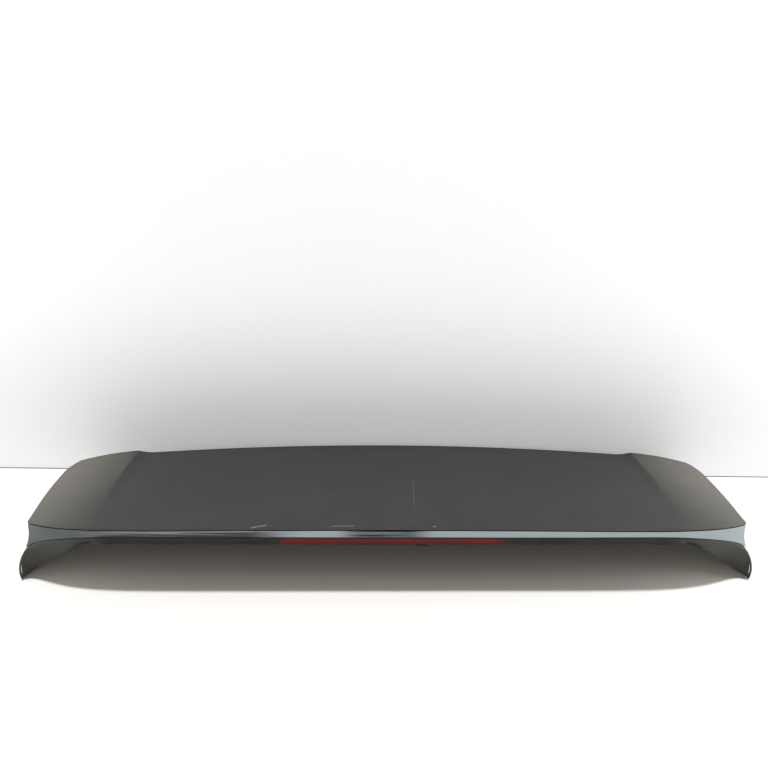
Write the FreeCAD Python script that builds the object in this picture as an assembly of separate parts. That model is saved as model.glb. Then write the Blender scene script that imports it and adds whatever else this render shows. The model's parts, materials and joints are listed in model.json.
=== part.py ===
import FreeCAD, Part
import math
import os

# Tailgate spoiler, lying on a floor on its two winglet tips and its fixing studs.
# Millimetres, +X to the right seen from behind, +Y towards the front of the car, +Z up.
# The sizes below count y from the winglet tips; the pieces are saved with the origin on the floor,
# in the middle of the row of studs.

V = FreeCAD.Vector

# Top skin
tail_y = -30.0            # trailing edge on the centre line
nose_y = 310.0            # leading edge on the centre line
tail_z = 134.0            # height of the trailing edge
nose_z = 73.0             # height of the leading edge
top_bulge = 6.0           # fullness of the top between the two edges
crown_tail = 5.0          # side droop of the top at the trailing edge
crown_gain = 14.5         # further droop at the leading edge
corner_x = 584.5          # rear corner of the top skin
corner_y = 7.0
tail_power = 11.0         # how late the trailing edge turns forward
side_x = 612.0            # widest place of the top skin
side_y = 200.0
edge_low = 60.0           # height of the side edge at its front end
edge_gain = 58.5          # how much higher it is at the rear corner
edge_run = 330.0
edge_power = 1.9
roll_power = 1.9          # how the ends roll down to the side edge
ridge_tail_x = 480.0      # creased ridges, at the trailing edge
ridge_nose_x = 492.0      # and at the leading edge
ridge_height = 6.5        # step of the ridge at the leading edge
ridge_full_y = 290.0
ridge_flank = 30.0        # width of the hollow flank beside the ridge
ridge_power = 1.2
ridge_round = 2.5         # softness of the crease

# Shells
skin = 3.0                # wall of the mouldings
skirt = 9.0               # depth of the top skin's turned-down edge
shell_gap = 1.0           # between that edge and the lower moulding
tail_skin = 3.2           # top skin seen from behind
seam_gap = 1.8            # dark seam above and below the gloss strip
trim_end_y = 38.0         # front end of the strip on the sides
front_inset = 8.0         # lower moulding behind the leading edge
glue_line = 0.05          # between the front seal and the wall it is stuck to
shelf_depth = 14.0        # inner flange of the strip
shelf_wall = 2.5

# Rear rim, lip and winglets
rim_z = 112.0             # upper edge of the lip
rim_strip = 2.0           # narrow rim above the lip
rim_bend_x = 420.0        # where the rim turns down into the winglet
rim_bend_r = 196.0
rim_power = 0.69          # fullness of that turn
tip_x = rim_bend_x + rim_bend_r
lip_z = 97.8              # lower edge of the lip
lip_bend_x = 470.0
tip_wall = 13.0           # winglet tip from its outer to its inner edge
lip_tip_x = tip_x - tip_wall
lip_power = 1.6           # fullness of the winglet's inner edge
lip_lean = 3.0            # lip face leans this much
tip_depth = 18.0          # winglet tip from rear to front
bow_depth = 40.0          # hollow of the winglet's inner face

past_x = tip_x + 34.0     # safely outside of everything

# Underside
under_tail_z = 100.5
base_z = 30.0             # flat base on the tailgate
base_y = 150.0            # where the slope runs out into the base
pad_x = 428.0             # flat part of the base
pad_rear_y = 156.0
pad_front_y = 283.0
under_y = -27.0
fin_low = -1.5            # lower edge of the side fins, cut off at the floor
fin_rise = 43.5
fin_y = 18.0
fin_run = 200.0
fin_inset = 146.0         # where the fins start, inside of the winglet tips
fin_inner_x = tip_x - fin_inset
fin_width = 128.0

# Brake lamp
lens_left = -180.0
lens_right = 180.0
lens_low = 99.4
lens_high = 110.2
lens_slant = 4.0
lens_back_y = -21.0
lens_gap = 0.3
lamp_back_y = 12.0
lamp_low = 99.6
lamp_high = 113.0
lamp_wall = 2.0
board_wall = 1.6
led_count = 14
led_size = 3.0
ear_length = 14.0
ear_wall = 2.4
ear_y = 4.0

# Washer feed
nozzle_x = 49.0
nozzle_width = 19.0
nozzle_drop = 6.0
stem_y = -2.0
barb_z = 95.2
barb_r = 1.9
hose_r = 3.1
hose_fit = 0.35
port_y = 178.0
port_z = 48.0
port_r = 3.2
port_length = 14.0

# Fixings
stud_r = 3.0
shoulder_r = 4.0          # part of a stud or stem that sits in the lower moulding
stud_pitch = 270.0
stud_count = 4
stud_y = 225.0
peg_x = 270.0
peg_r = 4.0
peg_low = 14.0
screw_r = 2.0
screw_head_r = 4.0
screw_places = ((0.0, 250.0), (200.0, 180.0), (-200.0, 180.0), (340.0, 180.0), (-340.0, 180.0))
boss_r = 5.0
insert_r = 3.2
insert_length = 8.0
fit = 0.1                 # clearance round shanks and stems
buffer_places = ((350.0, 260.0), (-350.0, 260.0), (110.0, 260.0), (-110.0, 260.0))
grommet_x = -59.0
clip_places = (-440.0, -330.0, -220.0, -110.0, 0.0, 110.0, 220.0, 330.0, 440.0)


def soft_ramp(q, softness):
    """Goes from 0 to 1 between q = 0 and q = 1, with rounded ends."""
    return (math.hypot(q, softness) - math.hypot(q - 1.0, softness) + 1.0) / 2.0


def tail_line(x):
    return tail_y + (corner_y - tail_y) * abs(x / corner_x) ** tail_power


def nose_line(x):
    return nose_y - 20.0 * (x / ridge_nose_x) ** 2


def ridge_x(y):
    return ridge_tail_x + (ridge_nose_x - ridge_tail_x) * (y - tail_y) / (nose_y - tail_y)


def ridge_rise(y):
    q = min(max(y / ridge_full_y, 0.0), 1.15)
    return ridge_height * q ** ridge_power


def panel_height(x, y):
    s = (y - tail_y) / (nose_y - tail_y)
    spine = tail_z - (tail_z - nose_z) * s + 4.0 * top_bulge * s * (1.0 - s)
    return spine - (crown_tail + crown_gain * s) * (x / corner_x) ** 2


def edge_x(y):
    q = min(max(side_y - y, 0.0) / (side_y - corner_y), 1.1)
    return side_x - (side_x - corner_x) * q * q


def edge_height(y):
    q = min(max(1.0 - (y - corner_y) / edge_run, 0.0), 1.03)
    return edge_low + edge_gain * q ** edge_power


def top_height(x, y):
    """Outside of the top skin: panel, hollow flank up to the ridge, rolled-down end."""
    ridge = ridge_x(y)
    out = abs(x) - ridge
    inward = (math.hypot(out, ridge_round) - out) / 2.0
    flank = max(1.0 - inward / ridge_flank, 0.0)
    sink = ridge_rise(y) * (1.0 - flank * flank)
    if out <= 0.0:
        return panel_height(x, y) + ridge_rise(y) - sink
    crest = panel_height(ridge, y) + ridge_rise(y)
    q = out / (edge_x(y) - ridge)
    return crest - (crest - edge_height(y)) * q ** roll_power - sink


def under_height(x, y):
    """Outside of the underside: sloping middle, flat base, side fins down to the floor."""
    middle = under_tail_z - (under_tail_z - base_z) * soft_ramp((y - under_y) / (base_y - under_y), 0.08)
    fin = fin_low + fin_rise * soft_ramp((y - fin_y) / fin_run, 0.05)
    return middle + (fin - middle) * soft_ramp((abs(x) - fin_inner_x) / fin_width, 0.12) ** lip_power


def steepness(height, x, y):
    gx = (height(x + 1.0, y) - height(x - 1.0, y)) / 2.0
    gy = (height(x, y + 1.0) - height(x, y - 1.0)) / 2.0
    return math.sqrt(1.0 + gx * gx + gy * gy)


def spread(first, last, count):
    return [first + (last - first) * i / (count - 1.0) for i in range(count)]


def smooth_curve(points, marks):
    curve = Part.BSplineCurve()
    curve.interpolate(Points=points, Parameters=[float(mark) for mark in marks])
    return curve


def grid_face(grid, column_marks, row_marks):
    """Smooth face through rows of points, each row and each column with its own fixed parameters."""
    along = [smooth_curve(line, column_marks) for line in grid]
    across = []
    for column in zip(*[curve.getPoles() for curve in along]):
        across.append(smooth_curve(list(column), row_marks))
    surface = Part.BSplineSurface()
    surface.buildFromPolesMultsKnots(
        [curve.getPoles() for curve in across],
        along[0].getMultiplicities(), across[0].getMultiplicities(),
        along[0].getKnots(), across[0].getKnots(), False, False, 3, 3)
    return surface.toShape()


def height_face(height, half_columns, rows):
    """Smooth face through a height rule; half_columns gives the x places right of the middle."""
    grid = []
    marks = []
    for y in rows:
        right = half_columns(y)
        places = [-x for x in reversed(right)] + [0.0] + right
        marks = marks or places
        grid.append([V(x, y, height(x, y)) for x in places])
    return grid_face(grid, marks, rows)


def below_top(drop):
    """Everything below the top skin, sunk by drop."""

    def sunk(x, y):
        return top_height(x, y) - drop

    def places(y):
        near = (-70.0, -48.0, -36.0, -27.0, -18.0, -11.0, -6.0, -3.0, 0.0, 3.0, 6.0, 11.0, 20.0, 36.0)
        ridge = ridge_x(y)
        return [130.0, 250.0, 350.0] + [ridge + step for step in near] + [corner_x - 34.5, corner_x - 4.5, side_x, past_x]

    return height_face(sunk, places, spread(-60.0, 340.0, 17)).extrude(V(0, 0, -300))


def above_under(lift):
    """Everything above the underside, raised by lift measured square to the face."""

    def raised(x, y):
        return under_height(x, y) + lift * steepness(under_height, x, y)

    def places(y):
        return [180.0, 320.0, fin_inner_x - 70.0, fin_inner_x - 40.0] + spread(fin_inner_x - 20.0, past_x, 14)

    return height_face(raised, places, spread(-60.0, 340.0, 25)).extrude(V(0, 0, 300))


def spline(points, marks=None):
    """Smooth edge through points; without marks its parameters are the run of its chords."""
    if marks is None:
        marks = [0.0]
        for first, last in zip(points, points[1:]):
            marks.append(marks[-1] + first.distanceToPoint(last))
    return smooth_curve(points, marks).toShape()


# Plan outline at five heights: height, lean of the tail, corner shift in x and y, side shift
flare = tip_x - corner_x
levels = (
    (140.0, -0.5, -3.0, 0.0, -5.5),
    (105.0, 0.8, 0.11 * flare, -1.0, -2.0),
    (70.0, 2.0, 0.413 * flare, -2.0, 2.0),
    (45.0, 2.8, 0.873 * flare, -3.7, 5.2),
    (0.0, 4.0, flare, -corner_y, 11.0),
)


def outline(level, inset, front):
    """Closed plan outline at one height, moved in by inset, and by front at the leading edge."""
    z, lean, corner_dx, corner_dy, side_dx = level
    shoulder = 0.3 * corner_dx + 0.7 * side_dx
    cx = corner_x + corner_dx - inset
    cy = corner_y + corner_dy + inset
    rear = []
    rear_marks = (-1.0, -0.97, -0.93, -0.85, -0.7, -0.45, 0.0, 0.45, 0.7, 0.85, 0.93, 0.97, 1.0)
    for k in rear_marks:
        middle = tail_y + lean + inset
        rear.append(V(cx * k, middle + (cy - middle) * abs(k) ** tail_power, z))
    side = [
        V(cx, cy, z),
        V(edge_x(90.0) + shoulder - inset, 90.0, z),
        V(side_x + side_dx - inset, side_y, z),
        V(side_x - 3.0 + side_dx - inset, side_y + 30.0 - 0.3 * inset, z),
        V(side_x - 19.0 + side_dx - 0.6 * inset, side_y + 60.0 - 0.8 * front, z),
    ]
    tip = V(ridge_nose_x - 1.0, nose_line(ridge_nose_x - 1.0) - front, z)
    nose = []
    for k in (1.0, 0.5, 0.0, -0.5, -1.0):
        nose.append(V(tip.x * k, nose_line(tip.x * k) - front, z))
    mirrored = [V(-p.x, p.y, z) for p in reversed(side)]
    side_marks = (0.0, 85.0, 196.0, 226.0, 260.0)
    edges = [
        spline(rear, rear_marks),
        spline(side, side_marks),
        Part.makeLine(side[-1], tip),
        spline(nose),
        Part.makeLine(nose[-1], mirrored[0]),
        spline(mirrored, [side_marks[-1] - mark for mark in reversed(side_marks)]),
    ]
    return Part.Wire(edges)


def outline_body(inset, front):
    return Part.makeLoft([outline(level, inset, front) for level in levels], True, False)


def rear_line(x, z):
    """Place of the rear wall at x and at height z."""
    for upper, lower in zip(levels, levels[1:]):
        if z >= lower[0]:
            break
    share = min((upper[0] - z) / (upper[0] - lower[0]), 1.0)
    lean, corner_dx, corner_dy = [upper[i] + (lower[i] - upper[i]) * share for i in (1, 2, 3)]
    middle = tail_y + lean
    return middle + (corner_y + corner_dy - middle) * min(abs(x) / (corner_x + corner_dx), 1.0) ** tail_power


def rim_height(x):
    q = min(max((x - rim_bend_x) / rim_bend_r, 0.0), 1.0)
    return rim_z * (1.0 - q * q) ** (0.5 * rim_power)


def rim_points(grow):
    """Rear view of the rim from the left tip over the top to the right tip, moved out by grow."""
    half = []
    for degrees in (0, 10, 20, 30, 40, 50, 60, 70, 80, 85, 88, 90):
        a = math.radians(degrees)
        height = (rim_z + grow) * abs(math.cos(a)) ** rim_power
        half.append(V(rim_bend_x + (rim_bend_r + grow) * math.sin(a), 0, height))
    middle = [V(x, 0, rim_z + grow) for x in (-300.0, 0.0, 300.0)]
    return [V(-p.x, 0, p.z) for p in reversed(half)] + middle + half


def above_rim(grow, end_y):
    """Everything above the rim seen from behind, from well behind the tail to end_y."""
    points = rim_points(grow)
    frame = [points[-1], V(past_x, 0, 0), V(past_x, 0, 200), V(-past_x, 0, 200), V(-past_x, 0, 0), points[0]]
    edges = [spline(points)]
    for first, last in zip(frame, frame[1:]):
        edges.append(Part.makeLine(first, last))
    face = Part.Face(Part.Wire(edges))
    return face.extrude(V(0, end_y + 100.0, 0)).translated(V(0, -100.0, 0))


def lip_cutter():
    """Takes away what lies behind the lip face and the hollow inner faces of the winglets."""
    columns = []
    for x in (0.0, 130.0, 260.0, 360.0, 430.0):
        columns.append((V(x, 0, rim_height(x)), V(x, 0, lip_z), 0.0))
    for s in (0.0, 0.1, 0.2, 0.3, 0.4, 0.5, 0.6, 0.7, 0.8, 0.88, 0.94, 0.98, 1.0):
        x = lip_bend_x + (tip_x - lip_bend_x) * s
        low_x = lip_bend_x + (lip_tip_x - lip_bend_x) * s
        columns.append((V(x, 0, rim_height(x)), V(low_x, 0, lip_z * (1.0 - s ** lip_power)), s))
    columns.append((V(tip_x + 1.0, 0, -15.0), V(lip_tip_x + 2.0, 0, -15.0), 1.0))
    lines = [[], [], [], []]
    marks = [0.0]
    for upper, lower, s in columns:
        rear_y = rear_line(upper.x, max(upper.z, 0.0)) + 1.5
        depth = lip_lean + (tip_depth - lip_lean) * s + bow_depth * s * (1.0 - s)
        top = V(upper.x, rear_y, upper.z)
        low = V(lower.x, rear_y + depth, lower.z)
        hollow = (top + low) * 0.5 + V(0, 0.18 * depth, 0)
        past = low + (low - hollow) * 0.7
        if lines[1]:
            marks.append(marks[-1] + hollow.distanceToPoint(lines[1][-1]))
        for line, point in zip(lines, (top, hollow, low, past)):
            line.append(point)
    grid = [[V(-p.x, p.y, p.z) for p in reversed(line[1:])] + line for line in lines]
    column_marks = [-mark for mark in reversed(marks[1:])] + marks
    return grid_face(grid, column_marks, (0.0, 0.5, 1.0, 1.35)).extrude(V(0, -120, 0))


def box(x0, x1, y0, y1, z0, z1):
    return Part.makeBox(x1 - x0, y1 - y0, z1 - z0, V(x0, y0, z0))


def rod(x, y, z0, z1, r):
    return Part.makeCylinder(r, z1 - z0, V(x, y, z0))


def ring(x, y, z0, z1, r_in, r_out):
    return rod(x, y, z0, z1, r_out).cut(rod(x, y, z0, z1, r_in))


def stud_places():
    first = -stud_pitch * (stud_count - 1) / 2.0
    return [(first + stud_pitch * i, stud_y) for i in range(stud_count)]


def one_solid(shape):
    """The single solid of a piece; stray slivers of a cut are dropped."""
    return max(shape.Solids, key=lambda solid: solid.Volume)


def save(name, shape):
    shape = shape.translated(V(0, -stud_y, 0))
    shape.exportStep("parts/" + name + ".step")
    print(name, len(shape.Solids), round(shape.Volume), shape.isValid())


os.makedirs("parts", exist_ok=True)

top_body = below_top(0.0)
under_body = above_under(0.0)
outer = outline_body(0.0, 0.0)
cutter = lip_cutter()
floor_z = base_z + skin


def upper_shell():
    cap = outer.common(top_body)
    deep = below_top(skirt)
    inner = outline_body(skin, skin).common(below_top(skin))
    tail_room = below_top(tail_skin).common(box(-past_x, past_x, -100, trim_end_y + 1.5, -10, 200))
    shell = one_solid(cap.cut(deep).cut(inner).cut(tail_room))
    posts = []
    holes = []
    for x, y in screw_places:
        posts.append(rod(x, y, floor_z, top_height(x, y) - 0.5 * skin, boss_r).common(below_top(1.0)))
        holes.append(rod(x, y, floor_z, floor_z + 22.0, screw_r + fit))
        holes.append(rod(x, y, floor_z, floor_z + insert_length, insert_r))
    return one_solid(shell.fuse(posts).cut(holes))


def gloss_trim():
    wall = outer.cut(outline_body(skin, skin)).common(above_rim(rim_strip + seam_gap, trim_end_y))
    wall = wall.common(below_top(tail_skin + seam_gap))
    shelf_body = outline_body(0.6 * skin, skin).common(below_top(tail_skin + seam_gap))
    shelf_body = shelf_body.cut(below_top(tail_skin + seam_gap + shelf_wall))
    plan = [V(x, tail_line(x) + shelf_depth, 0) for x in spread(-540.0, 540.0, 13)]
    edges = [spline(plan)]
    frame = [plan[-1], V(540, -100, 0), V(-540, -100, 0), plan[0]]
    for first, last in zip(frame, frame[1:]):
        edges.append(Part.makeLine(first, last))
    shelf_room = Part.Face(Part.Wire(edges)).extrude(V(0, 0, 200))
    return one_solid(wall.fuse(shelf_body.common(shelf_room)))


def lens_block(grow, back_y):
    """Bar with slightly slanted ends that fills the lamp window."""
    low = lens_low - grow
    high = lens_high + grow
    left = lens_left - grow
    right = lens_right + grow
    corners = [V(left, 0, low), V(right, 0, low), V(right - lens_slant, 0, high), V(left + lens_slant, 0, high)]
    face = Part.Face(Part.makePolygon(corners + corners[:1]))
    return face.extrude(V(0, back_y + 60.0, 0)).translated(V(0, -60.0, 0))


def ear_places():
    return [(lens_left - 0.5 * ear_length, ear_y), (lens_right + 0.5 * ear_length, ear_y)]


def lower_shell():
    body = outline_body(0.0, front_inset).common(under_body).common(below_top(skirt + shell_gap))
    body = body.cut(above_rim(rim_strip, trim_end_y + 1.0)).cut(cutter)
    room = outline_body(skin, front_inset + skin).common(above_under(skin))
    room = room.cut(cutter.translated(V(0, skin + 0.5, 0)))
    body = one_solid(body.cut(room))
    pad = box(-pad_x, pad_x, pad_rear_y, pad_front_y, base_z, floor_z)
    body = body.fuse(pad).cut(pad.translated(V(0, 0, skin)))
    adds = []
    cuts = [lens_block(lens_gap, lens_back_y + 1.0)]
    inside = above_under(0.5 * skin)
    for x, y in ear_places():
        adds.append(rod(x, y, 60.0, lamp_low, 4.0).common(inside))
        cuts.append(rod(x, y, lamp_low - 8.0, lamp_low + 1.0, 1.6 + fit))
    for x in (-peg_x, peg_x):
        adds.append(rod(x, stud_y, peg_low, base_z + 1.0, peg_r))
    for x, y in stud_places():
        cuts.append(rod(x, y, 0.0, 50.0, shoulder_r + fit))
    for x, y in screw_places:
        cuts.append(rod(x, y, 0.0, floor_z + 0.01, screw_r + fit))
    for x, y in buffer_places:
        cuts.append(rod(x, y, 0.0, 50.0, 3.0 + fit))
    cuts.append(rod(nozzle_x, stem_y, 60.0, 110.0, 3.2 + fit))
    cuts.append(rod(nozzle_x, port_y, 0.0, 45.0, shoulder_r + fit))
    cuts.append(rod(grommet_x, port_y, 0.0, 45.0, 8.0))
    return one_solid(body.fuse(adds).cut(cuts))


def brake_lamp_lens():
    return one_solid(lens_block(0.0, lens_back_y).cut(cutter))


def brake_lamp_housing():
    body = box(lens_left, lens_right, lens_back_y, lamp_back_y, lamp_low, lamp_high)
    room = box(lens_left + lamp_wall, lens_right - lamp_wall, lens_back_y - 1.0, lamp_back_y - lamp_wall,
               lamp_low + lamp_wall, lamp_high - lamp_wall)
    body = body.cut(room)
    ears = []
    holes = []
    for x, y in ear_places():
        half = 0.5 * ear_length
        ears.append(box(x - half, x + half, y - half, y + half, lamp_low, lamp_low + ear_wall))
        holes.append(rod(x, y, lamp_low - 1.0, lamp_low + 5.0, 1.6 + fit))
    return body.fuse(ears).removeSplitter().cut(holes)


def brake_lamp_board():
    y1 = lamp_back_y - lamp_wall
    return box(lens_left + lamp_wall + 1.0, lens_right - lamp_wall - 1.0, y1 - board_wall, y1,
               lamp_low + lamp_wall, lamp_high - lamp_wall)


def brake_lamp_leds():
    y1 = lamp_back_y - lamp_wall - board_wall
    z = 0.5 * (lamp_low + lamp_high)
    chips = []
    for x in spread(lens_left + 20.0, lens_right - 20.0, led_count):
        h = 0.5 * led_size
        chips.append(box(x - h, x + h, y1 - 1.4, y1, z - h, z + h))
    return Part.makeCompound(chips)


socket_x = -30.0
socket_half = 9.0
socket_end_y = lamp_back_y + 16.0


def brake_lamp_socket():
    body = box(socket_x - socket_half, socket_x + socket_half, lamp_back_y, socket_end_y, 100.5, 111.5)
    room = box(socket_x - socket_half + 1.5, socket_x + socket_half - 1.5, lamp_back_y + 3.0,
               socket_end_y + 1.0, 102.0, 110.0)
    return body.cut(room)


def brake_lamp_pins():
    pins = []
    for dx in (-3.0, 3.0):
        pins.append(box(socket_x + dx - 0.5, socket_x + dx + 0.5, lamp_back_y + 3.0, socket_end_y - 3.0,
                        105.5, 106.5))
    return Part.makeCompound(pins)


def brake_lamp_gasket():
    y0 = lens_back_y + 11.0
    y1 = y0 + 4.0
    grow = 2.0
    body = box(lens_left - grow, lens_right + grow, y0, y1, lamp_low - grow, lamp_high + grow)
    return body.cut(box(lens_left, lens_right, y0 - 1.0, y1 + 1.0, lamp_low, lamp_high))


def pan_screw(x, y, seat_z, length, shank_r, head_r, up):
    """Screw with its head resting on seat_z; up says which way the shank runs."""
    side = 1.0 if up else -1.0
    shank = rod(x, y, min(seat_z, seat_z + side * length), max(seat_z, seat_z + side * length), shank_r)
    head_end = seat_z - side * 2.4
    head = rod(x, y, min(seat_z, head_end), max(seat_z, head_end), head_r)
    socket = rod(x, y, min(head_end, head_end + side * 1.2), max(head_end, head_end + side * 1.2), 0.45 * head_r)
    return head.fuse(shank).cut(socket)


def brake_lamp_screws():
    seat = lamp_low + ear_wall
    return Part.makeCompound([pan_screw(x, y, seat, 9.0, 1.6, 3.4, False) for x, y in ear_places()])


def washer_nozzle():
    """Flat body under the lip, stem through the underside, barb turned towards the front."""
    body = box(nozzle_x - 0.5 * nozzle_width, nozzle_x + 0.5 * nozzle_width, -21.0, 7.0, 60.0, 120.0)
    low = above_under(0.0).translated(V(0, 0, -nozzle_drop))
    body = body.common(low).cut(under_body)
    jet = Part.makeCylinder(1.0, 8.0, V(nozzle_x, -25.0, 91.0), V(0, 1, 0))
    stem = rod(nozzle_x, stem_y, under_height(nozzle_x, stem_y) - 2.0, barb_z + 2.6, 3.2)
    barb = Part.makeCylinder(barb_r, 20.0, V(nozzle_x, stem_y, barb_z), V(0, 1, 0))
    return one_solid(body.fuse([stem, barb]).cut(jet))


def washer_hose():
    start = V(nozzle_x, stem_y + 5.0, barb_z)
    finish = V(nozzle_x, port_y - 6.0, port_z)
    path = Part.BSplineCurve()
    points = [start, start + V(0, 20, 0), V(nozzle_x, 90, 76), finish - V(0, 20, 0), finish]
    path.interpolate(Points=points, InitialTangent=V(0, 1, 0), FinalTangent=V(0, 1, 0))
    wire = Part.Wire(path.toShape())
    outside = Part.Wire(Part.makeCircle(hose_r, start, V(0, 1, 0)))
    inside = Part.Wire(Part.makeCircle(barb_r + hose_fit, start, V(0, 1, 0)))
    return wire.makePipeShell([outside], True, False).cut(wire.makePipeShell([inside], True, False))


def washer_connector():
    """Elbow standing on the base, with a barb inside and a barb below."""
    body = rod(nozzle_x, port_y, floor_z, port_z + 5.0, 5.0)
    neck = rod(nozzle_x, port_y, base_z, floor_z + 1.0, shoulder_r)
    stem = rod(nozzle_x, port_y, base_z - port_length, base_z, port_r)
    barb = Part.makeCylinder(barb_r, 16.0, V(nozzle_x, port_y - 16.0, port_z), V(0, 1, 0))
    return body.fuse([neck, stem, barb]).removeSplitter()


def cable_grommet():
    flange_low = ring(grommet_x, port_y, base_z - 2.0, base_z, 4.0, 12.0)
    neck = ring(grommet_x, port_y, base_z - 2.0, floor_z + 2.0, 4.0, 8.0 - fit)
    flange_high = ring(grommet_x, port_y, floor_z, floor_z + 2.0, 4.0, 11.0)
    return flange_low.fuse([neck, flange_high]).removeSplitter()


plate_wall = 2.5


def mounting_studs():
    studs = []
    for x, y in stud_places():
        studs.append(rod(x, y, 0.0, base_z, stud_r).fuse(rod(x, y, base_z, floor_z + plate_wall, shoulder_r)))
    return Part.makeCompound(studs)


def stud_plates():
    plates = []
    for x, y in stud_places():
        plate = box(x - 20.0, x + 20.0, y - 15.0, y + 15.0, floor_z, floor_z + plate_wall)
        plates.append(plate.cut(rod(x, y, floor_z - 1.0, floor_z + 5.0, shoulder_r + 0.02)))
    return Part.makeCompound(plates)


def stud_seals():
    return Part.makeCompound([ring(x, y, base_z - 5.0, base_z, shoulder_r + 0.3, 11.0) for x, y in stud_places()])


def shell_screws():
    return Part.makeCompound([pan_screw(x, y, base_z, 18.0, screw_r, screw_head_r, True) for x, y in screw_places])


def boss_inserts():
    z1 = floor_z + insert_length
    return Part.makeCompound([ring(x, y, floor_z, z1, screw_r + fit, insert_r) for x, y in screw_places])


def trim_clips():
    """Spring clips pushed over the front edge of the strip's inner flange."""
    leaf = 0.8
    mouth = shelf_wall + 0.3
    clips = []
    for x in clip_places:
        y = tail_line(x) + shelf_depth
        z = top_height(x, y) - tail_skin - seam_gap - 0.5 * shelf_wall
        body = box(-6.0, 6.0, -8.0, 1.0 + leaf, -0.5 * mouth - leaf, 0.5 * mouth + leaf)
        body = body.cut(box(-7.0, 7.0, -9.0, 1.0, -0.5 * mouth, 0.5 * mouth))
        slope_y = (top_height(x, y + 1.0) - top_height(x, y - 9.0)) / 10.0
        slope_x = (top_height(x + 5.0, y) - top_height(x - 5.0, y)) / 10.0
        body.rotate(V(0, 0, 0), V(1, 0, 0), math.degrees(math.atan(slope_y)))
        body.rotate(V(0, 0, 0), V(0, 1, 0), -math.degrees(math.atan(slope_x)))
        clips.append(body.translated(V(x, y, z)))
    return Part.makeCompound(clips)


def front_seal():
    """Rubber strip on the front wall, under the leading edge."""
    reach = 470.0
    inner = [V(x, nose_line(x) - front_inset + glue_line, 36.0) for x in spread(-reach, reach, 9)]
    outer_line = [V(p.x, p.y + front_inset - glue_line - 2.0, p.z) for p in reversed(inner)]
    edges = [spline(inner), Part.makeLine(inner[-1], outer_line[0])]
    edges += [spline(outer_line), Part.makeLine(outer_line[-1], inner[0])]
    return Part.Face(Part.Wire(edges)).extrude(V(0, 0, 14))


def base_seal():
    """Foam frame round the base."""
    bar = 7.0
    z0 = base_z - 4.0
    x1 = pad_x - 3.0
    y0 = pad_rear_y + 1.0
    y1 = pad_front_y - 1.0
    body = box(-x1, x1, y0, y1, z0, base_z)
    return body.cut(box(bar - x1, x1 - bar, y0 + bar, y1 - bar, z0 - 1.0, base_z + 1.0))


def rubber_buffers():
    stops = []
    for x, y in buffer_places:
        stops.append(rod(x, y, base_z - 6.0, base_z, 4.5).fuse(rod(x, y, base_z - 1.0, floor_z + 3.0, 3.0)))
    return Part.makeCompound(stops)


save("upper_shell", upper_shell())
save("gloss_trim", gloss_trim())
save("lower_shell", lower_shell())
save("brake_lamp_lens", brake_lamp_lens())
save("brake_lamp_housing", brake_lamp_housing())
save("brake_lamp_board", brake_lamp_board())
save("brake_lamp_leds", brake_lamp_leds())
save("brake_lamp_socket", brake_lamp_socket())
save("brake_lamp_pins", brake_lamp_pins())
save("brake_lamp_gasket", brake_lamp_gasket())
save("brake_lamp_screws", brake_lamp_screws())
save("washer_nozzle", washer_nozzle())
save("washer_hose", washer_hose())
save("washer_connector", washer_connector())
save("cable_grommet", cable_grommet())
save("mounting_studs", mounting_studs())
save("stud_plates", stud_plates())
save("stud_seals", stud_seals())
save("shell_screws", shell_screws())
save("boss_inserts", boss_inserts())
save("trim_clips", trim_clips())
save("front_seal", front_seal())
save("base_seal", base_seal())
save("rubber_buffers", rubber_buffers())
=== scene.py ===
import json
import logging
import math
from dataclasses import dataclass
from enum import Enum
from typing import Any, NamedTuple, Union

import bpy
from mathutils import Matrix, Vector


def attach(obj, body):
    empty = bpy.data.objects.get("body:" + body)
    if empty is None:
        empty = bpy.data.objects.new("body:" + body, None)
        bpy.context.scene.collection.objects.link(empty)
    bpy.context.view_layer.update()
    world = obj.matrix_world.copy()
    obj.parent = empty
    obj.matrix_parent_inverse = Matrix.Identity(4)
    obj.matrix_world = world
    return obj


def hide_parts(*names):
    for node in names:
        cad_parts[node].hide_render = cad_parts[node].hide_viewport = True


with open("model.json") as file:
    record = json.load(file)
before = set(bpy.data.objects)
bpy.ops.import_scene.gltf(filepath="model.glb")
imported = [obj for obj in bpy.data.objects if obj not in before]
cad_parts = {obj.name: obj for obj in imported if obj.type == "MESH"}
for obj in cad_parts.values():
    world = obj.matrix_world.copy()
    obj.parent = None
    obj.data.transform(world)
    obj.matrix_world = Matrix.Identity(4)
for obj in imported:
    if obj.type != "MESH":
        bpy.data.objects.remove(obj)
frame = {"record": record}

for leftover in ("Cube", "Light", "Camera"):
    if leftover in bpy.data.objects:
        bpy.data.objects.remove(bpy.data.objects[leftover])

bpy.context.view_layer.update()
MM = 0.001
SMOOTH = {"interpolation_type": "SMOOTHSTEP"}
COLOURS = {"data_type": "RGBA"}
CLOUDS = (0.3, 0.7)         # values between which most of a cloudy noise lies
WAVE_RATE = 20.0            # factor of Blender's wave texture on its coordinates
LOG = logging.getLogger("spoiler")


class Body(Enum):
    """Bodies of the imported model."""

    ROOT = "root"


class Slot(Enum):
    """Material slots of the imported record."""

    TOP_PAINT = "top_paint"
    GLOSS_BLACK = "gloss_black"
    BLACK_MOULDING = "black_moulding"
    RED_LENS = "red_lens"
    LAMP_HOUSING = "lamp_housing"
    LAMP_BOARD = "lamp_board"
    LAMP_LEDS = "lamp_leds"
    BRASS = "brass"
    FOAM = "foam"
    STEEL = "steel"
    NOZZLE_BLACK = "nozzle_black"
    RUBBER = "rubber"


class Fade(NamedTuple):
    """A smooth change from one result, held up to start, to another, held from end on."""

    start: float
    end: float
    before: float = 0.0
    after: float = 1.0


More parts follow.
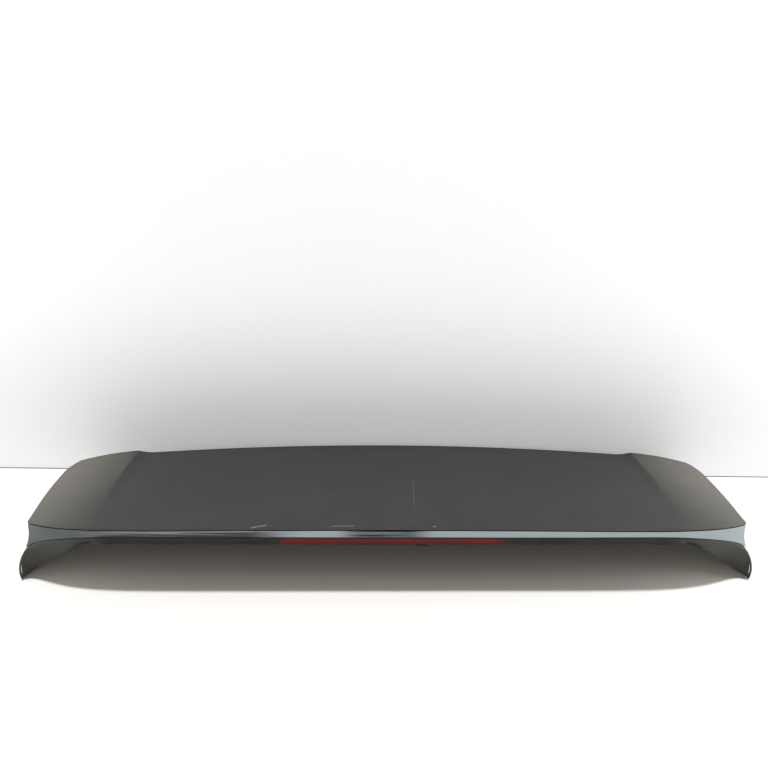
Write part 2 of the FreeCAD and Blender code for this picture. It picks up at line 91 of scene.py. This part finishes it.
def linear(hex_colour: str) -> tuple[float, float, float, float]:
    """Turns an sRGB hex colour into linear values.

    Args:
        hex_colour: Colour such as "4d4e4c".

    Returns:
        Linear red, green, blue and an alpha of 1.
    """
    parts = [int(hex_colour[i:i + 2], 16) / 255.0 for i in (0, 2, 4)]
    values = [p / 12.92 if p <= 0.04045 else ((p + 0.055) / 1.055) ** 2.4 for p in parts]
    return (values[0], values[1], values[2], 1.0)


def grey(level: float) -> tuple[float, float, float, float]:
    """Neutral colour of a linear level."""
    return (level, level, level, 1.0)


def per_mm(size_mm: float) -> float:
    """Texture scale for a pattern of about size_mm, on coordinates in metres."""
    return 1.0 / (size_mm * MM)


def add(tree: bpy.types.NodeTree, kind: str, inputs: Union[dict[str, Any], tuple[Any, ...]] = (),
        **settings: Any) -> bpy.types.Node:
    """Adds one node with its settings and links.

    Args:
        tree: Node tree that gets the node.
        kind: Blender's name of the node type, without its leading ShaderNode.
        inputs: Values, or the sockets or nodes that feed them, by name or in the order of the inputs in use.
        **settings: Attributes of the node itself.

    Returns:
        The new node, which stands for its first output in use wherever it feeds another node.
    """
    node = tree.nodes.new("ShaderNode" + kind)
    for name, value in settings.items():
        setattr(node, name, value)
    if isinstance(inputs, dict):
        pairs = [(node.inputs[name], value) for name, value in inputs.items()]
    else:
        pairs = list(zip([socket for socket in node.inputs if socket.enabled], inputs))
    for socket, value in pairs:
        if isinstance(value, bpy.types.Node):
            value = next(output for output in value.outputs if output.enabled)
        if isinstance(value, bpy.types.NodeSocket):
            tree.links.new(value, socket)
        else:
            socket.default_value = value
    return node


def start(name: str) -> tuple[bpy.types.Material, bpy.types.NodeTree, bpy.types.NodeSocket]:
    """Starts a material.

    Args:
        name: Name of the material.

    Returns:
        The material, its empty tree and its object coordinates.
    """
    material = bpy.data.materials.new(name)
    material.use_nodes = True
    tree = material.node_tree
    tree.nodes.clear()
    return material, tree, add(tree, "TexCoord").outputs["Object"]


@dataclass(frozen=True)
class Scratch:
    """One light scratch: its middle, length and width in millimetres in plan, and its turn in degrees."""

    x: float
    y: float
    length: float
    width: float
    turn: float
    strength: float
    waves: float = 2.5
    edge: tuple[float, float] = (0.2, 0.55)
    tip: Fade = Fade(0.3, 0.5, 1.0, 0.0)

    def mask(self, tree: bpy.types.NodeTree, place: bpy.types.NodeSocket) -> bpy.types.Node:
        """Makes the mask of the scratch.

        Args:
            tree: Node tree.
            place: Object coordinates.

        Returns:
            A value from 0 to the scratch's strength.
        """
        turned = add(tree, "Mapping", {
            "Vector": place, "Location": (self.x * MM, self.y * MM, 0.0),
            "Rotation": (0.0, 0.0, math.radians(self.turn)),
            "Scale": (self.length * MM, self.width * MM, 1.0)}, vector_type="TEXTURE")
        wave = add(tree, "TexNoise", {"Vector": turned, "Scale": self.waves, "Detail": 2.0})
        axis = add(tree, "SeparateXYZ", (turned,))
        across = add(tree, "Math", (axis.outputs["Y"], wave), operation="ADD")
        across = add(tree, "Math", (across, 0.5), operation="SUBTRACT")
        across = add(tree, "Math", (across,), operation="ABSOLUTE")
        along = add(tree, "Math", (axis.outputs["X"],), operation="ABSOLUTE")
        thin = add(tree, "MapRange", (across, *self.edge, self.strength, 0.0), **SMOOTH)
        short = add(tree, "MapRange", (along, *self.tip), **SMOOTH)
        return add(tree, "Math", (thin, short), operation="MULTIPLY")


@dataclass(frozen=True)
class SatinPaint:
    """Satin dark grey paint sprayed on a moulded skin: soft sheen, fine orange peel, dust, a few scratches.

    Outside the two ridges, a painted highlight lies next to each ridge and a painted sheen lightens the
    paint towards the ends, over random haze and grit; the inner flanks of the ridges get painted shade.
    Distances are from the ridge line, or for forward along the car, in metres.
    """

    colour: str = "2c2e2e"
    # Colour of random dust and grit, also used for the painted sheen towards the ends and the painted
    # highlight beside each ridge
    dust_and_sheen_colour: str = "8f8a7e"
    shade: str = "141515"
    scratch_colour: str = "d8d8d4"
    peel_mm: float = 2.2
    peel_height_mm: float = 0.4
    peel_strength: float = 0.05
    grit_mm: float = 1.6
    cloud_mm: float = 90.0
    ridge_x: float = 0.489
    ridge_slope: float = 0.0353
    forward: Fade = Fade(-0.24, -0.02)
    # Painted highlight in a thin band just outside each ridge crease, fading out towards the rear
    painted_crease_highlight: Fade = Fade(-0.002, 0.004, 0.0, 0.09)
    # Painted sheen: the paint grows lighter towards the ends, as if lit from the sides
    painted_end_sheen: Fade = Fade(-0.03, 0.12, 0.0, 0.29)
    # Painted shade on the inner flank of each ridge
    painted_flank_shade: Fade = Fade(-0.032, -0.003, 0.0, 0.35)
    flank_edge: Fade = Fade(-0.002, 0.003, 1.0, 0.0)
    haze: Fade = Fade(0.35, 0.75, 0.0, 0.015)
    grit: Fade = Fade(0.56, 0.78, 0.0, 0.16)
    roughness: Fade = Fade(*CLOUDS, 0.43, 0.51)
    scratches: tuple[Scratch, ...] = (
        Scratch(-212.0, -249.0, 30.0, 1.0, 20.0, 0.95),
        Scratch(-80.0, -248.0, 46.0, 0.8, 3.0, 0.75),
        Scratch(66.0, -249.0, 7.0, 1.2, -20.0, 0.8),
        Scratch(40.0, -140.0, 120.0, 1.4, 88.0, 0.10),
    )

    def build(self) -> bpy.types.Material:
        """Builds the paint.

        Returns:
            The material.
        """
        material, tree, place = start("satin_paint_sprayed")
        cloud = add(tree, "TexNoise", {"Vector": place, "Scale": per_mm(self.cloud_mm), "Detail": 4.0})
        speck = add(tree, "TexNoise", {"Vector": place, "Scale": per_mm(self.grit_mm), "Detail": 2.0})
        axis = add(tree, "SeparateXYZ", (place,))
        reach = add(tree, "Math", (axis.outputs["X"],), operation="ABSOLUTE")
        ridge = add(tree, "Math", (axis.outputs["Y"], self.ridge_slope, self.ridge_x),
                    operation="MULTIPLY_ADD")
        beside = add(tree, "Math", (reach, ridge), operation="SUBTRACT")
        front = add(tree, "MapRange", (axis.outputs["Y"], *self.forward), **SMOOTH)

        # Painted highlight beside each ridge crease
        crease_highlight = add(tree, "MapRange", (beside, *self.painted_crease_highlight), **SMOOTH)
        crease_highlight = add(tree, "Math", (crease_highlight, front), operation="MULTIPLY")
        # Painted sheen towards the ends, with random haze and grit of dust added on top
        dust_and_sheen_share = add(tree, "MapRange", (beside, *self.painted_end_sheen), **SMOOTH)
        haze = add(tree, "MapRange", (cloud, *self.haze), **SMOOTH)
        grit = add(tree, "MapRange", (speck, *self.grit), **SMOOTH)
        for layer in (crease_highlight, haze, grit):
            dust_and_sheen_share = add(tree, "Math", (dust_and_sheen_share, layer), operation="ADD")
        colour = add(tree, "Mix", (dust_and_sheen_share, linear(self.colour), linear(self.dust_and_sheen_colour)), **COLOURS)
        for scratch in self.scratches:
            mask = scratch.mask(tree, place)
            colour = add(tree, "Mix", (mask, colour, linear(self.scratch_colour)), **COLOURS)

        # Painted shade: the inner flanks are darkened towards the shade colour
        painted_flank_shade = add(tree, "MapRange", (beside, *self.painted_flank_shade), **SMOOTH)
        edge = add(tree, "MapRange", (beside, *self.flank_edge), **SMOOTH)
        for limit in (edge, front):
            painted_flank_shade = add(tree, "Math", (painted_flank_shade, limit), operation="MULTIPLY")
        colour = add(tree, "Mix", (painted_flank_shade, colour, linear(self.shade)), **COLOURS)

        sheen = add(tree, "MapRange", (cloud, *self.roughness), **SMOOTH)
        peel = add(tree, "TexNoise", {"Vector": place, "Scale": per_mm(self.peel_mm), "Detail": 1.0})
        bump = add(tree, "Bump", {"Height": peel, "Strength": self.peel_strength,
                                  "Distance": self.peel_height_mm * MM})
        shader = add(tree, "BsdfPrincipled", {"Base Color": colour, "Roughness": sheen, "Normal": bump})
        add(tree, "OutputMaterial", {"Surface": shader})
        return material


@dataclass(frozen=True)
class GlossLacquer:
    """Gloss lacquer on the strip, polished: mirror-like and hazed, with long wavy streaks.

    Its colour holds a painted reflection over the dark lacquer: streaky and blotched at the left, even at
    the right and round the corners, and darker in one patch near the middle. Distances across the car are
    in metres.
    """

    # The pale colour is a painted reflection; the dark colour is the lacquer itself
    pale: str = "959fa5"
    dark: str = "1c2024"
    metallic: float = 0.9
    streak_mm: tuple[float, float, float] = (130.0, 40.0, 3.4)
    streak_height_mm: float = 1.0
    streak_strength: float = 0.12
    blotch_mm: float = 70.0
    streaks: Fade = Fade(0.40, 0.66, 0.10, 0.75)
    blotches: Fade = Fade(0.58, 0.68, 1.0, 0.45)
    corner: Fade = Fade(0.40, 0.52)
    corner_reflection_level: float = 0.26
    right_side: Fade = Fade(-0.24, -0.13)
    right_reflection_level: float = 0.95
    dark_reflection_x: float = -0.012
    dark_reflection_patch: Fade = Fade(0.035, 0.085, 1.0, 0.0)
    dark_reflection_streaks: Fade = Fade(0.38, 0.64, 1.0, 0.5)
    dark_reflection_level: float = 0.03
    roughness: Fade = Fade(*CLOUDS, 0.14, 0.26)

    def build(self) -> bpy.types.Material:
        """Builds the lacquer.

        Returns:
            The material.
        """
        material, tree, place = start("gloss_lacquer_polished")
        scale = tuple(per_mm(size) for size in self.streak_mm)
        long = add(tree, "Mapping", {"Vector": place, "Scale": scale})
        streak = add(tree, "TexNoise", {"Vector": long, "Scale": 1.0, "Detail": 5.0, "Distortion": 0.6})
        patch = add(tree, "TexNoise", {"Vector": place, "Scale": per_mm(self.blotch_mm), "Detail": 2.0})
        across = add(tree, "SeparateXYZ", (place,)).outputs["X"]

        # Painted reflection: streaked and blotched at the left, even at the right and corners, darker in one
        # patch near the middle
        streaky = add(tree, "MapRange", (streak, *self.streaks), **SMOOTH)
        blotch = add(tree, "MapRange", (patch, *self.blotches), **SMOOTH)
        level = add(tree, "Math", (streaky, blotch), operation="MULTIPLY")
        outward = add(tree, "Math", (across,), operation="ABSOLUTE")
        corner = add(tree, "MapRange", (outward, *self.corner), **SMOOTH)
        level = add(tree, "Mix", (corner, level, grey(self.corner_reflection_level)), **COLOURS)

        offset = add(tree, "Math", (across, self.dark_reflection_x), operation="SUBTRACT")
        offset = add(tree, "Math", (offset,), operation="ABSOLUTE")
        near = add(tree, "MapRange", (offset, *self.dark_reflection_patch), **SMOOTH)
        broken = add(tree, "MapRange", (streak, *self.dark_reflection_streaks), **SMOOTH)
        dark_reflection = add(tree, "Math", (near, broken), operation="MULTIPLY")
        even = add(tree, "Mix", (dark_reflection, grey(self.right_reflection_level), grey(self.dark_reflection_level)), **COLOURS)
        side = add(tree, "MapRange", (across, *self.right_side), **SMOOTH)
        level = add(tree, "Mix", (side, level, even), **COLOURS)
        colour = add(tree, "Mix", (level, linear(self.dark), linear(self.pale)), **COLOURS)

        sheen = add(tree, "MapRange", (streak, *self.roughness), **SMOOTH)
        bump = add(tree, "Bump", {"Height": streak, "Strength": self.streak_strength,
                                  "Distance": self.streak_height_mm * MM})
        shader = add(tree, "BsdfPrincipled", {"Base Color": colour, "Metallic": self.metallic,
                                              "Roughness": sheen, "Normal": bump})
        add(tree, "OutputMaterial", {"Surface": shader})
        return material


@dataclass(frozen=True)
class GrainedPlastic:
    """Black plastic, moulded: fine leather-like grain, a breath of dust, painted light on faces turned up.

    Painted shade makes it blacker in the middle of the part than at its ends, which start at a distance
    in metres.
    """

    name: str = "black_plastic_moulded"
    dust_and_sheen_colour: str = "6d6b66"
    roughness: float = 0.58
    roughness_spread: float = 0.06
    specular: float = 0.22
    # Painted shade in the middle of the part and painted light at its ends
    middle: str = "0c0d0c"
    ends: str = "4d4e4a"
    # Colour of the painted light on faces turned up
    wear_and_light_colour: str = "7c7d7a"
    grain_mm: float = 0.9
    grain_height_mm: float = 0.3
    grain_strength: float = 0.12
    cloud_mm: float = 45.0
    painted_light_to_ends: Fade = Fade(0.44, 0.56)
    # Painted light: faces turned up get the paler colour
    painted_top_light: Fade = Fade(0.45, 0.85, 0.0, 0.8)
    dusty: Fade = Fade(0.3, 0.8, 0.0, 0.14)

    def build(self) -> bpy.types.Material:
        """Builds the plastic.

        Returns:
            The material.
        """
        material, tree, place = start(self.name)
        grain = add(tree, "TexVoronoi", {"Vector": place, "Scale": per_mm(self.grain_mm)})
        cloud = add(tree, "TexNoise", {"Vector": place, "Scale": per_mm(self.cloud_mm), "Detail": 4.0})
        across = add(tree, "SeparateXYZ", (place,)).outputs["X"]
        # Painted shade: the middle is blacker than the lighter ends
        outward = add(tree, "Math", (across,), operation="ABSOLUTE")
        share = add(tree, "MapRange", (outward, *self.painted_light_to_ends), **SMOOTH)
        colour = add(tree, "Mix", (share, linear(self.middle), linear(self.ends)), **COLOURS)
        # Painted light on faces turned up
        facing = add(tree, "NewGeometry").outputs["Normal"]
        facing_up = add(tree, "SeparateXYZ", (facing,)).outputs["Z"]
        share = add(tree, "MapRange", (facing_up, *self.painted_top_light), **SMOOTH)
        colour = add(tree, "Mix", (share, colour, linear(self.wear_and_light_colour)), **COLOURS)
        share = add(tree, "MapRange", (cloud, *self.dusty), **SMOOTH)
        colour = add(tree, "Mix", (share, colour, linear(self.dust_and_sheen_colour)), **COLOURS)

        glossy, matt = self.roughness - self.roughness_spread, self.roughness + self.roughness_spread
        sheen = add(tree, "MapRange", (cloud, *CLOUDS, glossy, matt), **SMOOTH)
        bump = add(tree, "Bump", {"Height": grain, "Strength": self.grain_strength,
                                  "Distance": self.grain_height_mm * MM})
        shader = add(tree, "BsdfPrincipled", {"Base Color": colour, "Roughness": sheen, "Normal": bump,
                                              "Specular IOR Level": self.specular})
        add(tree, "OutputMaterial", {"Surface": shader})
        return material


@dataclass(frozen=True)
class RedLens:
    """Red acrylic, moulded: deep clear red with upright prism ribs behind a smooth face."""

    colour: str = "780f11"
    deep: str = "4a0609"
    rib_mm: float = 6.4
    cloud_mm: float = 60.0
    depth: Fade = Fade(*CLOUDS, 0.1, 0.5)
    rib_depth: Fade = Fade(0.0, 1.0, 0.0, 0.35)
    roughness: float = 0.3
    ior: float = 1.49
    specular: float = 0.12

    def build(self) -> bpy.types.Material:
        """Builds the lens.

        Returns:
            The material.
        """
        material, tree, place = start("red_acrylic_moulded")
        rib_scale = per_mm(self.rib_mm) * math.tau / WAVE_RATE
        ribs = add(tree, "TexWave", {"Vector": place, "Scale": rib_scale, "Distortion": 0.0},
                   wave_type="BANDS", bands_direction="X", wave_profile="TRI").outputs["Fac"]
        cloud = add(tree, "TexNoise", {"Vector": place, "Scale": per_mm(self.cloud_mm), "Detail": 2.0})
        share = add(tree, "MapRange", (cloud, *self.depth), **SMOOTH)
        colour = add(tree, "Mix", (share, linear(self.colour), linear(self.deep)), **COLOURS)
        share = add(tree, "MapRange", (ribs, *self.rib_depth), **SMOOTH)
        colour = add(tree, "Mix", (share, colour, linear(self.deep)), **COLOURS)
        shader = add(tree, "BsdfPrincipled", {"Base Color": colour, "Roughness": self.roughness,
                                              "IOR": self.ior, "Specular IOR Level": self.specular})
        add(tree, "OutputMaterial", {"Surface": shader})
        return material


@dataclass(frozen=True)
class PlainStuff:
    """Small hidden pieces: one colour broken up by cloudy wear."""

    name: str
    colour: str
    wear_and_light_colour: str
    roughness: float
    metallic: float = 0.0
    cloud_mm: float = 8.0
    wear: Fade = Fade(0.35, 0.7, 0.0, 0.6)
    roughness_spread: float = 0.08

    def build(self) -> bpy.types.Material:
        """Builds the material.

        Returns:
            The material.
        """
        material, tree, place = start(self.name)
        cloud = add(tree, "TexNoise", {"Vector": place, "Scale": per_mm(self.cloud_mm), "Detail": 5.0})
        share = add(tree, "MapRange", (cloud, *self.wear), **SMOOTH)
        colour = add(tree, "Mix", (share, linear(self.colour), linear(self.wear_and_light_colour)), **COLOURS)
        glossy, matt = self.roughness - self.roughness_spread, self.roughness + self.roughness_spread
        sheen = add(tree, "MapRange", (cloud, *CLOUDS, glossy, matt), **SMOOTH)
        shader = add(tree, "BsdfPrincipled", {"Base Color": colour, "Roughness": sheen,
                                              "Metallic": self.metallic})
        add(tree, "OutputMaterial", {"Surface": shader})
        return material


def finishes() -> dict[Slot, bpy.types.Material]:
    """Builds every finish once.

    Returns:
        The finish of each slot.
    """
    return {
        Slot.TOP_PAINT: SatinPaint().build(),
        Slot.GLOSS_BLACK: GlossLacquer().build(),
        Slot.BLACK_MOULDING: GrainedPlastic().build(),
        Slot.RED_LENS: RedLens().build(),
        Slot.LAMP_HOUSING: GrainedPlastic("lamp_plastic_moulded", "3a3a38", 0.6).build(),
        Slot.LAMP_BOARD: PlainStuff("glass_epoxy_board", "1c5a34", "123f24", 0.4).build(),
        Slot.LAMP_LEDS: PlainStuff("diode_resin_cast", "c23a30", "8c2019", 0.25).build(),
        Slot.BRASS: PlainStuff("brass_turned", "b08d4a", "8a6c34", 0.35, 1.0, 4.0).build(),
        Slot.FOAM: PlainStuff("closed_cell_foam_cut", "262626", "3a3a39", 0.85, 0.0, 2.0).build(),
        Slot.STEEL: PlainStuff("zinc_plated_steel", "b9bab6", "8f908b", 0.38, 1.0, 5.0).build(),
        Slot.NOZZLE_BLACK: GrainedPlastic("nozzle_plastic_moulded", "2c2c2b", 0.45).build(),
        Slot.RUBBER: PlainStuff("rubber_extruded", "1d1d1d", "2e2e2d", 0.7, 0.0, 6.0).build(),
    }


@dataclass
class MouldedPiece:
    """A visible moulding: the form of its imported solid, welded and shaded smooth up to its sharp edges."""

    node: str
    name: str
    slot: Slot
    weld_mm: float = 0.02
    sharp_degrees: float = 30.0

    def build(self) -> bpy.types.Object:
        """Models the piece from its node.

        Returns:
            The new object, at the origin.
        """
        bpy.ops.object.select_all(action="DESELECT")
        source = bpy.data.objects[self.node]
        piece = bpy.data.objects.new(self.name, source.data.copy())
        bpy.context.scene.collection.objects.link(piece)
        piece.matrix_world = source.matrix_world
        piece.data.materials.clear()
        bpy.context.view_layer.objects.active = piece
        piece.select_set(True)
        bpy.ops.object.mode_set(mode="EDIT")
        bpy.ops.mesh.select_all(action="SELECT")
        bpy.ops.mesh.customdata_custom_splitnormals_clear()
        bpy.ops.mesh.remove_doubles(threshold=self.weld_mm * MM)
        bpy.ops.mesh.dissolve_degenerate(threshold=self.weld_mm * MM)
        bpy.ops.object.mode_set(mode="OBJECT")
        bpy.ops.object.shade_smooth_by_angle(angle=math.radians(self.sharp_degrees))
        return piece

    def dress(self, piece: bpy.types.Object, material: bpy.types.Material) -> None:
        """Gives the piece its finish and its body.

        Args:
            piece: The modelled piece.
            material: Its finish.
        """
        piece.data.materials.append(material)
        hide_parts(self.node)
        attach(piece, Body.ROOT.value)


@dataclass
class CarriedNodes:
    """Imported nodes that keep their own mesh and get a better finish."""

    skip: tuple[str, ...]

    def dress(self, made: dict[Slot, bpy.types.Material]) -> list[str]:
        """Puts the finishes on.

        Args:
            made: Finish of each slot.

        Returns:
            Names of the dressed nodes.
        """
        names = []
        for part in frame["record"]["subparts"]:
            node = part["node"]
            if node in self.skip:
                continue
            mesh = bpy.data.objects[node].data
            mesh.materials.clear()
            mesh.materials.append(made[Slot(part["material_slot"])])
            names.append(node)
        return names


@dataclass(frozen=True)
class RoomPaint:
    """Matt paint, rolled: pale with faint clouds, and clear from behind, so that it never hides the part."""

    name: str
    colour: str
    cloud: str = "dddcd8"
    cloud_mm: float = 500.0
    clouds: Fade = Fade(*CLOUDS, 0.0, 0.06)
    roughness: float = 0.8
    specular: float = 0.2

    def surface(self, tree: bpy.types.NodeTree, place: bpy.types.NodeSocket) -> dict[str, Any]:
        """Makes what the shader gets.

        Args:
            tree: Node tree.
            place: Object coordinates.

        Returns:
            The shader's inputs.
        """
        noise = add(tree, "TexNoise", {"Vector": place, "Scale": per_mm(self.cloud_mm), "Detail": 3.0})
        share = add(tree, "MapRange", (noise, *self.clouds), **SMOOTH)
        colour = add(tree, "Mix", (share, linear(self.colour), linear(self.cloud)), **COLOURS)
        return {"Base Color": colour, "Roughness": self.roughness, "Specular IOR Level": self.specular}

    def build(self) -> bpy.types.Material:
        """Builds the paint.

        Returns:
            The material.
        """
        material, tree, place = start(self.name)
        shader = add(tree, "BsdfPrincipled", self.surface(tree, place))
        behind = add(tree, "NewGeometry").outputs["Backfacing"]
        one_sided = add(tree, "MixShader", (behind, shader, add(tree, "BsdfTransparent")))
        add(tree, "OutputMaterial", {"Surface": one_sided})
        return material


@dataclass(frozen=True)
class WallPaint(RoomPaint):
    """The wall's paint: lifted towards white for the camera, more so higher up, over a dark joint line."""

    joint_colour: str = "5c5b58"
    joint: Fade = Fade(0.0014, 0.0026)
    glow: Fade = Fade(0.0, 0.45, 0.231, 0.42)

    def surface(self, tree: bpy.types.NodeTree, place: bpy.types.NodeSocket) -> dict[str, Any]:
        """Makes what the shader gets.

        Args:
            tree: Node tree.
            place: Object coordinates.

        Returns:
            The shader's inputs.
        """
        inputs = super().surface(tree, place)
        height = add(tree, "SeparateXYZ", (place,)).outputs["Z"]
        above = add(tree, "MapRange", (height, *self.joint), **SMOOTH)
        paint = add(tree, "Mix", (above, linear(self.joint_colour), inputs["Base Color"]), **COLOURS)
        # Painted light: the wall glows for the camera, more strongly higher up
        glow = add(tree, "MapRange", (height, *self.glow), **SMOOTH)
        seen = add(tree, "LightPath").outputs["Is Camera Ray"]
        for limit in (seen, above):
            glow = add(tree, "Math", (glow, limit), operation="MULTIPLY")
        return {**inputs, "Base Color": paint, "Emission Color": linear("ffffff"), "Emission Strength": glow}


@dataclass(frozen=True)
class Lamp:
    """A window-like lamp: its place and size in metres, and its power in watts."""

    name: str
    place: tuple[float, float, float]
    power: float
    size: float = 1.1


@dataclass
class Studio:
    """Pale floor and wall, soft lamps and the camera of the photograph, in metres and degrees."""

    room_width: float = 8.0
    wall_height: float = 3.0
    wall_left: tuple[float, float] = (-0.797, 0.106)
    wall_right: tuple[float, float] = (0.802, 0.0813)
    floor_paint: RoomPaint = RoomPaint("floor_paint", "f3f2ef")
    wall_paint: WallPaint = WallPaint("wall_paint", "e9edf2")
    lamps: tuple[Lamp, ...] = (
        Lamp("left_window", (-2.0, -0.3, 0.8), 6.0),
        Lamp("right_window", (2.0, -0.2, 0.9), 15.0),
    )
    lamp_aim: tuple[float, float, float] = (0.0, -0.1, 0.05)
    sky_power: float = 2.5
    sky_angle: float = 4.0
    sky_tilt: tuple[float, float] = (1.0, 2.0)
    fill_colour: str = "fff6ea"
    fill: Fade = Fade(0.0, 1.0, 0.36, 0.9)
    camera_place: tuple[float, float, float] = (-0.0484, -1.1780, 0.8743)
    yaw: float = 1.83
    pitch: float = 27.62
    roll: float = 1.249
    focal_pixels: float = 736.26
    image_pixels: float = 768.0
    sensor_mm: float = 36.0

    def build(self) -> None:
        """Sets up the room, the lamps, the world and the camera."""
        left, right = Vector(self.wall_left), Vector(self.wall_right)
        turn = math.atan2(right.y - left.y, right.x - left.x)
        middle = (left + right) / 2.0
        floor = self.plane("floor", (0.0, 0.0, 0.0), (0.0, 0.0, 0.0), 1.0)
        floor.data.materials.append(self.floor_paint.build())
        wall = self.plane("wall", (middle.x, middle.y, self.wall_height / 2.0),
                          (math.radians(90.0), 0.0, turn), self.wall_height)
        wall.data.materials.append(self.wall_paint.build())
        self.light()
        self.fill_in()
        self.shoot()

    def plane(self, name: str, place: tuple[float, float, float], turn: tuple[float, float, float],
              height: float) -> bpy.types.Object:
        """Makes one flat surface of the room.

        Args:
            name: Name of the surface.
            place: Its middle.
            turn: Its rotation in radians.
            height: Its size upwards, or 1 where it lies flat.

        Returns:
            The surface, with its place in its mesh.
        """
        bpy.ops.object.select_all(action="DESELECT")
        bpy.ops.mesh.primitive_plane_add(size=1.0, location=place, rotation=turn)
        surface = bpy.context.object
        surface.name = name
        bpy.ops.transform.resize(value=(self.room_width, self.room_width, height))
        bpy.ops.object.transform_apply(location=True, rotation=True, scale=True)
        return surface

    def light(self) -> None:
        """Adds the lamps."""
        for lamp in self.lamps:
            data = bpy.data.lights.new(lamp.name, "AREA")
            data.size = lamp.size
            data.energy = lamp.power
            window = bpy.data.objects.new(lamp.name, data)
            bpy.context.scene.collection.objects.link(window)
            window.location = lamp.place
            aim = Vector(self.lamp_aim) - Vector(lamp.place)
            window.rotation_euler = aim.to_track_quat("-Z", "Y").to_euler()
        data = bpy.data.lights.new("skylight", "SUN")
        data.energy = self.sky_power
        data.angle = math.radians(self.sky_angle)
        skylight = bpy.data.objects.new("skylight", data)
        bpy.context.scene.collection.objects.link(skylight)
        skylight.rotation_euler = (math.radians(self.sky_tilt[0]), math.radians(self.sky_tilt[1]), 0.0)

    def fill_in(self) -> None:
        """Sets a soft fill light from all sides, which the camera sees as near white."""
        world = bpy.data.worlds.new("room")
        world.use_nodes = True
        tree = world.node_tree
        tree.nodes.clear()
        seen = add(tree, "LightPath").outputs["Is Camera Ray"]
        strength = add(tree, "MapRange", (seen, *self.fill), **SMOOTH)
        fill = add(tree, "Background", {"Color": linear(self.fill_colour), "Strength": strength})
        add(tree, "OutputWorld", {"Surface": fill})
        bpy.context.scene.world = world
        bpy.context.scene.view_settings.view_transform = "Standard"

    def shoot(self) -> None:
        """Places the camera."""
        yaw, pitch, roll = (math.radians(angle) for angle in (self.yaw, self.pitch, self.roll))
        reach = math.cos(pitch)
        ahead = Vector((math.sin(yaw) * reach, math.cos(yaw) * reach, -math.sin(pitch)))
        level = Vector((math.cos(yaw), -math.sin(yaw), 0.0))
        up = level.cross(ahead)
        right = level * math.cos(roll) + up * math.sin(roll)
        top = up * math.cos(roll) - level * math.sin(roll)
        data = bpy.data.cameras.new("photo_camera")
        data.sensor_width = self.sensor_mm
        data.lens = self.sensor_mm * self.focal_pixels / self.image_pixels
        camera = bpy.data.objects.new("photo_camera", data)
        bpy.context.scene.collection.objects.link(camera)
        turn = Matrix((right, top, -ahead)).transposed().to_4x4()
        camera.matrix_world = Matrix.Translation(Vector(self.camera_place)) @ turn
        bpy.context.scene.camera = camera


def main() -> None:
    """Builds the studio and dresses the spoiler."""
    logging.basicConfig(level=logging.INFO)
    Studio().build()
    made = finishes()
    mouldings = (
        MouldedPiece("upper_shell", "top_skin", Slot.TOP_PAINT),
        MouldedPiece("gloss_trim", "tail_strip", Slot.GLOSS_BLACK),
        MouldedPiece("lower_shell", "underbody", Slot.BLACK_MOULDING),
        MouldedPiece("brake_lamp_lens", "lamp_lens", Slot.RED_LENS),
    )
    for moulding in mouldings:
        piece = moulding.build()
        moulding.dress(piece, made[moulding.slot])
        LOG.info("%s: %d faces", piece.name, len(piece.data.polygons))
    for name in CarriedNodes(tuple(m.node for m in mouldings)).dress(made):
        LOG.info("%s: packed mesh", name)


if __name__ == "__main__":
    main()
